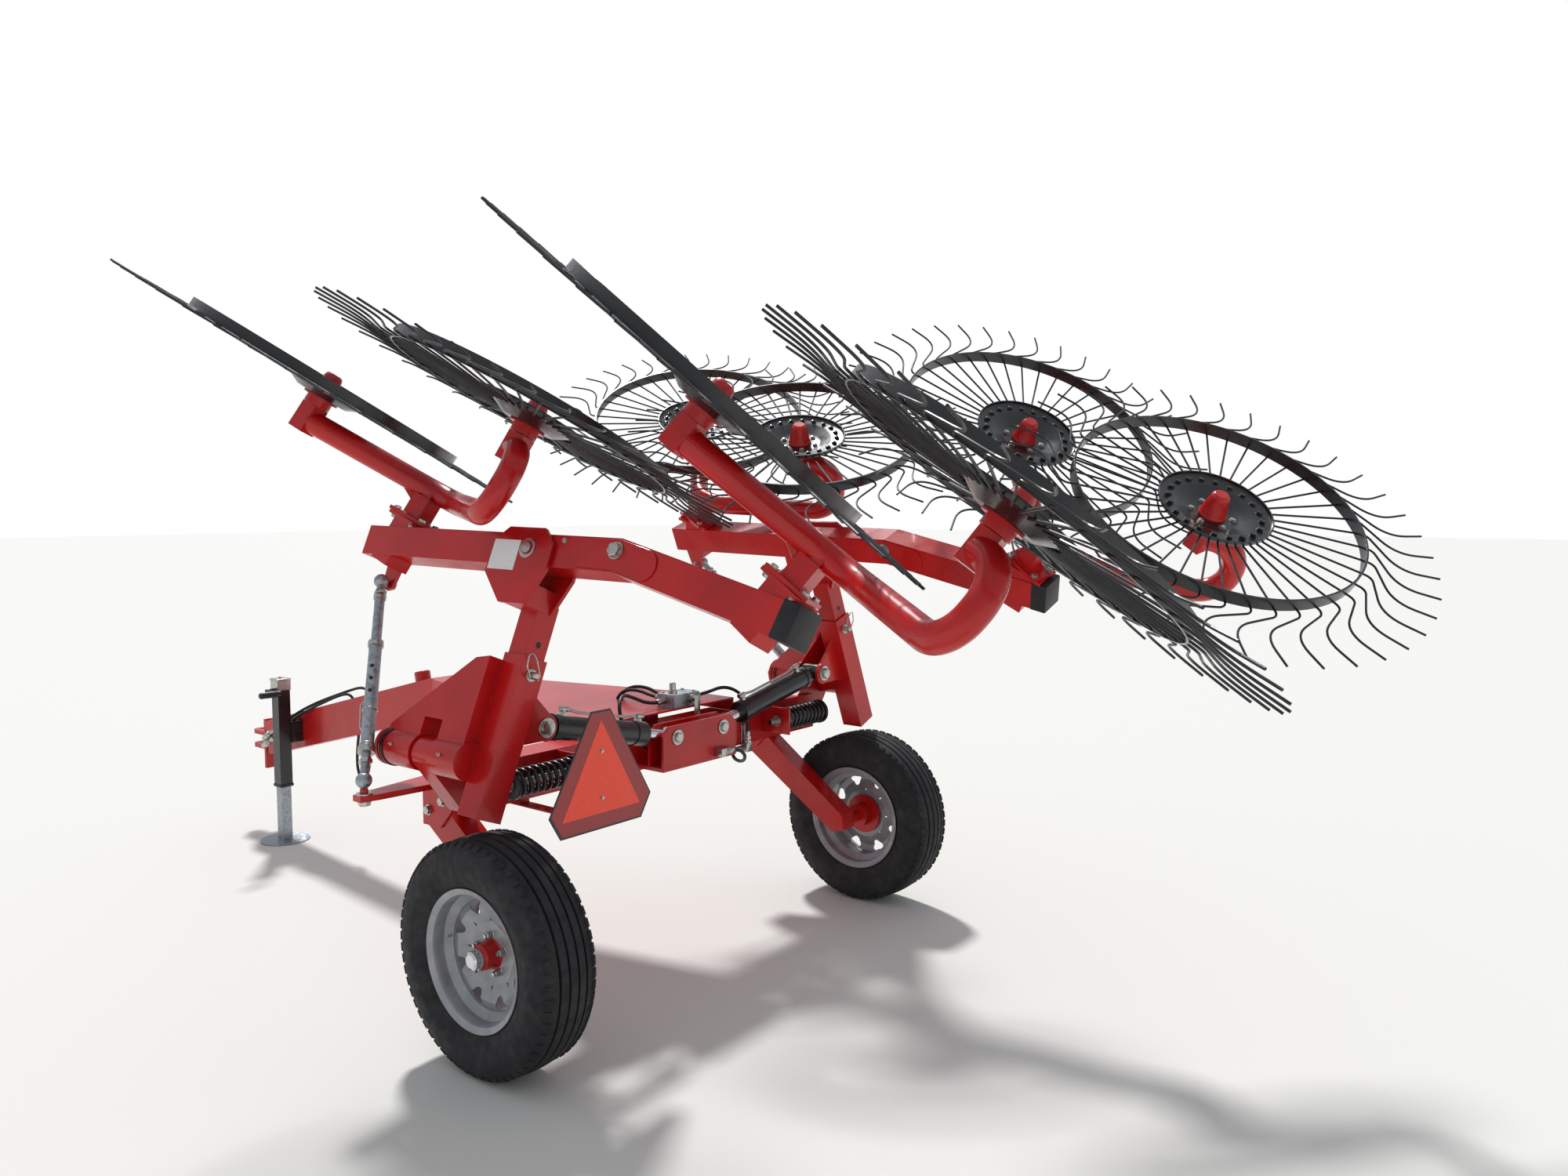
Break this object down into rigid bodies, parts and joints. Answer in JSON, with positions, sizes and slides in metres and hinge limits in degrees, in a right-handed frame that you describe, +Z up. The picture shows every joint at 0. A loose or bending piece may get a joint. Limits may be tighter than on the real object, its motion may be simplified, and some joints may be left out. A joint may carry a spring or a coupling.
{
  "type": "carted v rake with tined wheels",
  "caption": "Trailed hay rake folded for the road: tined raking wheels on two hinged arms with swinging beams and rockers, on a two-wheeled frame with drawbar and jack",
  "frame": {"origin": "on the ground under the middle of the overall box", "axes": "+X to the machine's right, +Y forward along the drawbar, +Z up"},
  "size_m": [3.0846, 5.2534, 2.3805],
  "materials": {
    "red_paint": "gloss powder coat",
    "black_paint": "gloss black paint",
    "tine_black": "satin black paint",
    "galvanised": "galvanised",
    "chrome_rod": "hard chrome",
    "rim_silver": "silver paint",
    "tyre": "matt rubber",
    "sign_face": "fluorescent and reflective sheet"
  },
  "bodies": {
    "frame": {"main_frame": "red_paint", "drawbar": "red_paint", "deck": "red_paint", "hitch": "red_paint", "jack_housing": "black_paint", "sign": "sign_face", "sign_bracket": "red_paint", "anchor_rear": "red_paint", "anchor_front": "red_paint", "valve_block": "galvanised", "leg_right": "red_paint", "spring_right": "black_paint", "leg_left": "red_paint", "spring_left": "black_paint"},
    "jack_leg": {"jack_leg": "galvanised"},
    "road_wheel_right": {"tyre_right": "tyre", "rim_right": "rim_silver", "road_hub_right": "red_paint"},
    "arm_right": {"arm_right": "red_paint", "head_right": "red_paint"},
    "beam_right": {"beam_right": "red_paint"},
    "link_right": {"link_right": "galvanised"},
    "cylinder_right": {"barrel_right": "black_paint"},
    "rod_right": {"piston_rod_right": "chrome_rod"},
    "rocker_front_right": {"rocker_front_right": "red_paint"},
    "rake_wheel_1_right": {"rake_wheel_1_right": "tine_black", "rake_hub_1_right": "red_paint"},
    "rake_wheel_2_right": {"rake_wheel_2_right": "tine_black", "rake_hub_2_right": "red_paint"},
    "rocker_rear_right": {"rocker_rear_right": "red_paint"},
    "rake_wheel_3_right": {"rake_wheel_3_right": "tine_black", "rake_hub_3_right": "red_paint"},
    "rake_wheel_4_right": {"rake_wheel_4_right": "tine_black", "rake_hub_4_right": "red_paint"},
    "road_wheel_left": {"tyre_left": "tyre", "rim_left": "rim_silver", "road_hub_left": "red_paint"},
    "arm_left": {"arm_left": "red_paint", "head_left": "red_paint"},
    "beam_left": {"beam_left": "red_paint"},
    "link_left": {"link_left": "galvanised"},
    "cylinder_left": {"barrel_left": "black_paint"},
    "rod_left": {"piston_rod_left": "chrome_rod"},
    "rocker_front_left": {"rocker_front_left": "red_paint"},
    "rake_wheel_1_left": {"rake_wheel_1_left": "tine_black", "rake_hub_1_left": "red_paint"},
    "rake_wheel_2_left": {"rake_wheel_2_left": "tine_black", "rake_hub_2_left": "red_paint"},
    "rocker_rear_left": {"rocker_rear_left": "red_paint"},
    "rake_wheel_3_left": {"rake_wheel_3_left": "tine_black", "rake_hub_3_left": "red_paint"},
    "rake_wheel_4_left": {"rake_wheel_4_left": "tine_black", "rake_hub_4_left": "red_paint"}
  },
  "joints": [
    {"name": "jack_slide", "type": "slide", "parent": "frame", "child": "jack_leg", "axis": [0, 0, 1], "range_m": [0, 0.25]},
    {"name": "road_wheel_right_spin", "type": "hinge", "parent": "frame", "child": "road_wheel_right", "pos_m": [0.95, -0.53333, 0.344], "axis": [1, 0, 0], "continuous": true},
    {"name": "arm_right_fold", "type": "hinge", "parent": "frame", "child": "arm_right", "pos_m": [0.96, -0.28333, 0.89], "axis": [0, 1, 0], "range_deg": [0, 105]},
    {"name": "beam_right_swing", "type": "hinge", "parent": "arm_right", "child": "beam_right", "pos_m": [0.70913, -0.48333, 1.4789], "axis": [0.9256, -0.0576, 0.374], "range_deg": [0, 20.24]},
    {"name": "link_right_swing", "type": "hinge", "parent": "frame", "child": "link_right", "pos_m": [1.102, -0.13133, 0.816], "axis": [0.01, -0.9997, 0.0216], "range_deg": [-105, 0]},
    {"name": "cylinder_right_pivot", "type": "hinge", "parent": "arm_right", "child": "cylinder_right", "pos_m": [0.71186, -0.43833, 0.95692], "axis": [0, 1, 0], "range_deg": [-109.17, 0]},
    {"name": "rod_right_stroke", "type": "slide", "parent": "cylinder_right", "child": "rod_right", "axis": [-0.9778, 0, -0.2097], "range_m": [0, 0.40393]},
    {"name": "rocker_front_right_float", "type": "hinge", "parent": "beam_right", "child": "rocker_front_right", "pos_m": [0.7131, 0.16836, 1.56228], "axis": [-0.4026, -0.3149, 0.8595], "range_deg": [0, 30]},
    {"name": "rake_wheel_1_right_spin", "type": "hinge", "parent": "rocker_front_right", "child": "rake_wheel_1_right", "pos_m": [0.90424, 0.34738, 2.00593], "axis": [-0.4082, -0.3427, 0.8461], "continuous": true},
    {"name": "rake_wheel_2_right_spin", "type": "hinge", "parent": "rocker_front_right", "child": "rake_wheel_2_right", "pos_m": [0.67065, -0.401, 1.89577], "axis": [-0.3966, -0.2867, 0.8721], "continuous": true},
    {"name": "rocker_rear_right_float", "type": "hinge", "parent": "beam_right", "child": "rocker_rear_right", "pos_m": [0.67806, -1.39148, 1.40965], "axis": [-0.3746, -0.5199, 0.7677], "range_deg": [0, 30]},
    {"name": "rake_wheel_3_right_spin", "type": "hinge", "parent": "rocker_rear_right", "child": "rake_wheel_3_right", "pos_m": [0.85024, -1.29112, 1.8847], "axis": [-0.3776, -0.5448, 0.7487], "continuous": true},
    {"name": "rake_wheel_4_right_spin", "type": "hinge", "parent": "rocker_rear_right", "child": "rake_wheel_4_right", "pos_m": [0.68742, -2.01873, 1.61857], "axis": [-0.3713, -0.4945, 0.7859], "continuous": true},
    {"name": "road_wheel_left_spin", "type": "hinge", "parent": "frame", "child": "road_wheel_left", "pos_m": [-0.95, -0.53333, 0.344], "axis": [1, 0, 0], "continuous": true},
    {"name": "arm_left_fold", "type": "hinge", "parent": "frame", "child": "arm_left", "pos_m": [-0.96, -0.28333, 0.89], "axis": [0, -1, 0], "range_deg": [0, 105]},
    {"name": "beam_left_swing", "type": "hinge", "parent": "arm_left", "child": "beam_left", "pos_m": [-0.70913, -0.48333, 1.4789], "axis": [0.9256, 0.0576, -0.374], "range_deg": [0, 20.24]},
    {"name": "link_left_swing", "type": "hinge", "parent": "frame", "child": "link_left", "pos_m": [-1.102, -0.13133, 0.816], "axis": [0.01, 0.9997, -0.0216], "range_deg": [-105, 0]},
    {"name": "cylinder_left_pivot", "type": "hinge", "parent": "arm_left", "child": "cylinder_left", "pos_m": [-0.71186, -0.43833, 0.95692], "axis": [0, -1, 0], "range_deg": [-109.17, 0]},
    {"name": "rod_left_stroke", "type": "slide", "parent": "cylinder_left", "child": "rod_left", "axis": [0.9778, 0, -0.2097], "range_m": [0, 0.40393]},
    {"name": "rocker_front_left_float", "type": "hinge", "parent": "beam_left", "child": "rocker_front_left", "pos_m": [-0.7131, 0.16836, 1.56228], "axis": [-0.4026, 0.3149, -0.8595], "range_deg": [0, 30]},
    {"name": "rake_wheel_1_left_spin", "type": "hinge", "parent": "rocker_front_left", "child": "rake_wheel_1_left", "pos_m": [-0.90424, 0.34738, 2.00593], "axis": [-0.4082, 0.3427, -0.8461], "continuous": true},
    {"name": "rake_wheel_2_left_spin", "type": "hinge", "parent": "rocker_front_left", "child": "rake_wheel_2_left", "pos_m": [-0.67065, -0.401, 1.89577], "axis": [-0.3966, 0.2867, -0.8721], "continuous": true},
    {"name": "rocker_rear_left_float", "type": "hinge", "parent": "beam_left", "child": "rocker_rear_left", "pos_m": [-0.67806, -1.39148, 1.40965], "axis": [-0.3746, 0.5199, -0.7677], "range_deg": [0, 30]},
    {"name": "rake_wheel_3_left_spin", "type": "hinge", "parent": "rocker_rear_left", "child": "rake_wheel_3_left", "pos_m": [-0.85024, -1.29112, 1.8847], "axis": [-0.3776, 0.5448, -0.7487], "continuous": true},
    {"name": "rake_wheel_4_left_spin", "type": "hinge", "parent": "rocker_rear_left", "child": "rake_wheel_4_left", "pos_m": [-0.68742, -2.01873, 1.61857], "axis": [-0.3713, 0.4945, -0.7859], "continuous": true}
  ],
  "couplings": [
    {"joint": "beam_right_swing", "follows": "arm_right_fold", "ratio": 0.19257},
    {"joint": "link_right_swing", "follows": "arm_right_fold", "ratio": -0.9998},
    {"joint": "cylinder_right_pivot", "follows": "arm_right_fold", "ratio": -1.0395},
    {"joint": "rod_right_stroke", "follows": "arm_right_fold", "m_per_rad": 0.22037},
    {"joint": "beam_left_swing", "follows": "arm_left_fold", "ratio": 0.19257},
    {"joint": "link_left_swing", "follows": "arm_left_fold", "ratio": -0.9998},
    {"joint": "cylinder_left_pivot", "follows": "arm_left_fold", "ratio": -1.0395},
    {"joint": "rod_left_stroke", "follows": "arm_left_fold", "m_per_rad": 0.22037}
  ]
}
